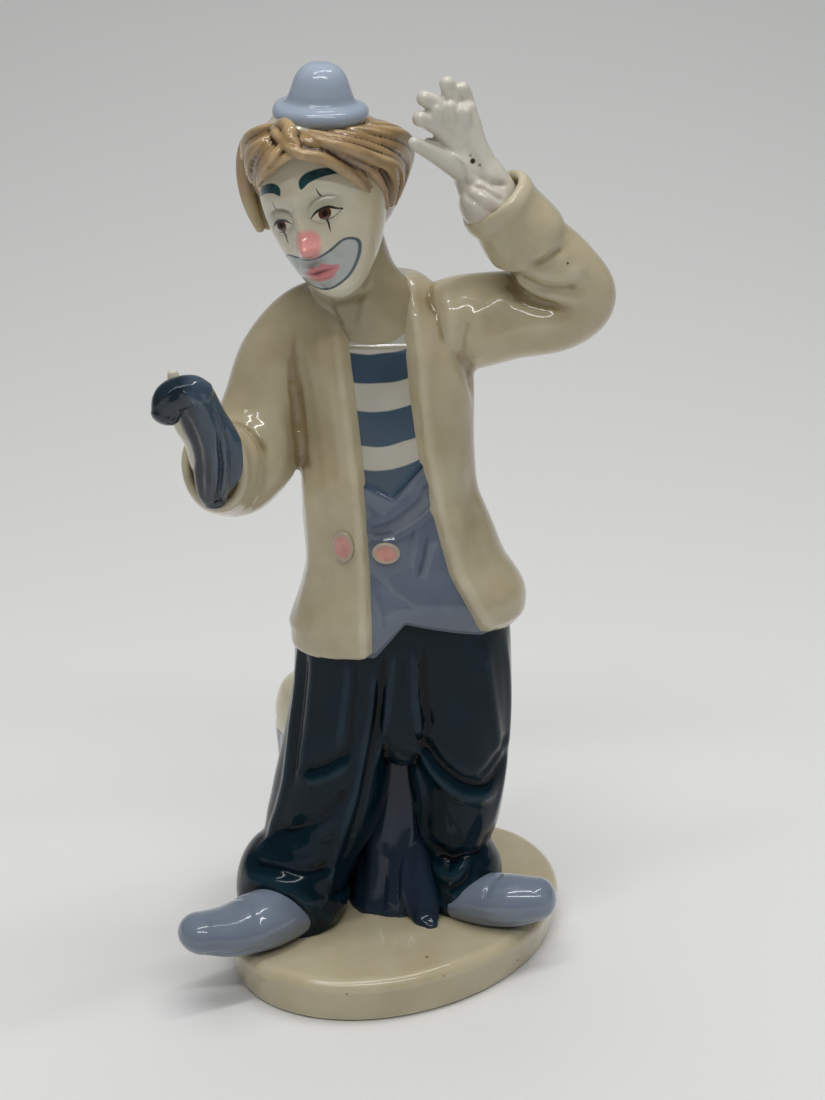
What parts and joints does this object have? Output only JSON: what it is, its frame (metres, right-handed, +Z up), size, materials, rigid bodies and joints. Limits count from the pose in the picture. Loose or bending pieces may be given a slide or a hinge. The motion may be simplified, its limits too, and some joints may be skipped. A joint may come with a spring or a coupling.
{
  "type": "clown figurine",
  "caption": "Glazed porcelain clown on an oval plinth, in a jacket, baggy trousers and small bowler, one hand raised and a kerchief in the other.",
  "frame": {"origin": "middle of the plinth's flat underside, where the figurine stands on a surface", "axes": "+Z up, -Y the way the clown's chest faces, +X towards the clown's raised left hand"},
  "size_m": [0.1203, 0.101, 0.2595],
  "materials": {
    "porcelain": "glossy clear glaze over beige, slate, pale blue, brown and white colours"
  },
  "bodies": {
    "root": {"clown_figurine": "porcelain"}
  },
  "joints": []
}
